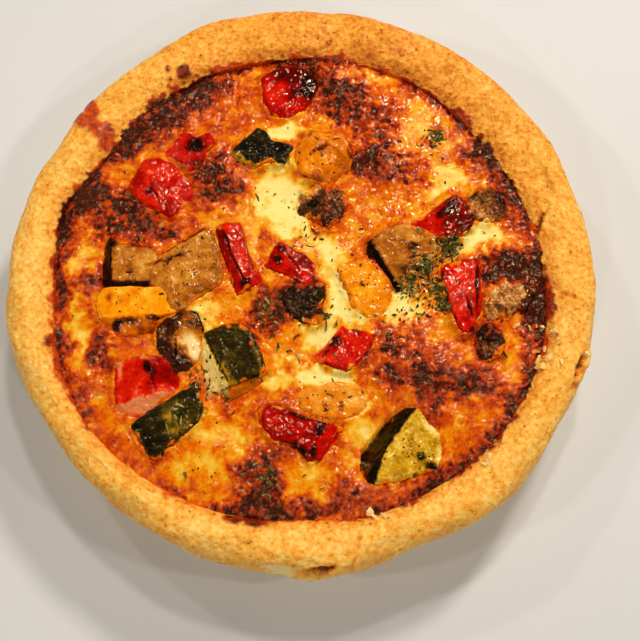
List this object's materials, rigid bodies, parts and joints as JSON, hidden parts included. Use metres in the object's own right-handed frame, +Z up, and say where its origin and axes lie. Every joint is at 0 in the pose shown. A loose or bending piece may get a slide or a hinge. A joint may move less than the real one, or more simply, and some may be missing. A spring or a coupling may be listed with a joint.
{
  "type": "vegetable quiche",
  "caption": "Whole baked vegetable quiche: a thick golden shortcrust case, blistered egg and cheese custard, and roasted vegetables set in its top.",
  "frame": {"origin": "middle of the flat base, on the table", "axes": "+Z up through the custard's top; the camera of the picture looks down from -Y, and +X is its right"},
  "size_m": [0.2273, 0.2332, 0.041],
  "materials": {
    "crust": "dry, grainy baked shortcrust",
    "custard": "glossy browned egg and cheese",
    "red_pepper": "wet, shiny roasted skin",
    "yellow_pepper": "wet, shiny roasted skin",
    "courgette": "oily dark green skin with pale flesh",
    "aubergine": "soft roasted flesh with dark skin",
    "mushroom": "wrinkled, roasted brown",
    "onion": "soft, translucent, caramelised",
    "herb": "dry crumbled herb and pepper"
  },
  "bodies": {
    "root": {"crust": "crust", "custard": "custard", "red_pepper_1": "red_pepper", "red_pepper_2": "red_pepper", "red_pepper_3": "red_pepper", "red_pepper_4": "red_pepper", "red_pepper_5": "red_pepper", "red_pepper_6": "red_pepper", "red_pepper_7": "red_pepper", "red_pepper_8": "red_pepper", "red_pepper_9": "red_pepper", "red_pepper_10": "red_pepper", "yellow_pepper_1": "yellow_pepper", "yellow_pepper_2": "yellow_pepper", "yellow_pepper_3": "yellow_pepper", "courgette_1": "courgette", "courgette_2": "courgette", "courgette_3": "courgette", "courgette_4": "courgette", "aubergine_1": "aubergine", "aubergine_2": "aubergine", "aubergine_3": "aubergine", "aubergine_4": "aubergine", "mushroom_1": "mushroom", "mushroom_2": "mushroom", "mushroom_3": "mushroom", "mushroom_4": "mushroom", "mushroom_5": "mushroom", "onion_1": "onion", "onion_2": "onion"}
  },
  "joints": []
}
